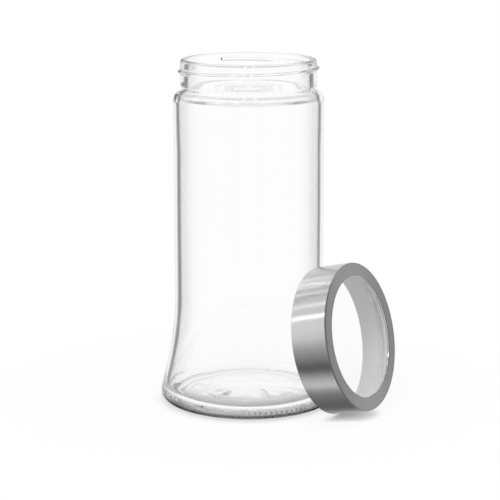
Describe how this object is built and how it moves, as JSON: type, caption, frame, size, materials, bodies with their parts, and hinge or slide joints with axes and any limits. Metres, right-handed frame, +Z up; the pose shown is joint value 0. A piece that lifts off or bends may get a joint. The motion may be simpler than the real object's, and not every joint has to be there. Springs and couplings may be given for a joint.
{
  "type": "sourdough starter jar",
  "caption": "Tall clear glass jar with a threaded wide mouth and a flared foot, and its windowed steel screw lid leaning against it.",
  "frame": {"origin": "centre of the ring that the jar stands on", "axes": "+Z up along the jar's axis, -Y towards the viewer, +X towards the side where the lid leans"},
  "size_m": [0.1703, 0.1573, 0.2475],
  "materials": {
    "clear_glass": "clear, fire polished",
    "brushed_steel": "fine brushed, satin",
    "white_plastic": "moulded, slightly translucent",
    "clear_plastic": "clear, polished",
    "white_silicone": "soft, matt"
  },
  "bodies": {
    "jar": {"glass_jar": "clear_glass"},
    "lid": {"lid_shell": "brushed_steel", "lid_liner": "white_plastic", "lid_window": "clear_plastic", "lid_seal": "white_silicone"}
  },
  "joints": [
    {"name": "lid_lift", "type": "slide", "parent": "jar", "child": "lid", "axis": [0, 0, 1], "range_m": [0, 0.25]}
  ]
}
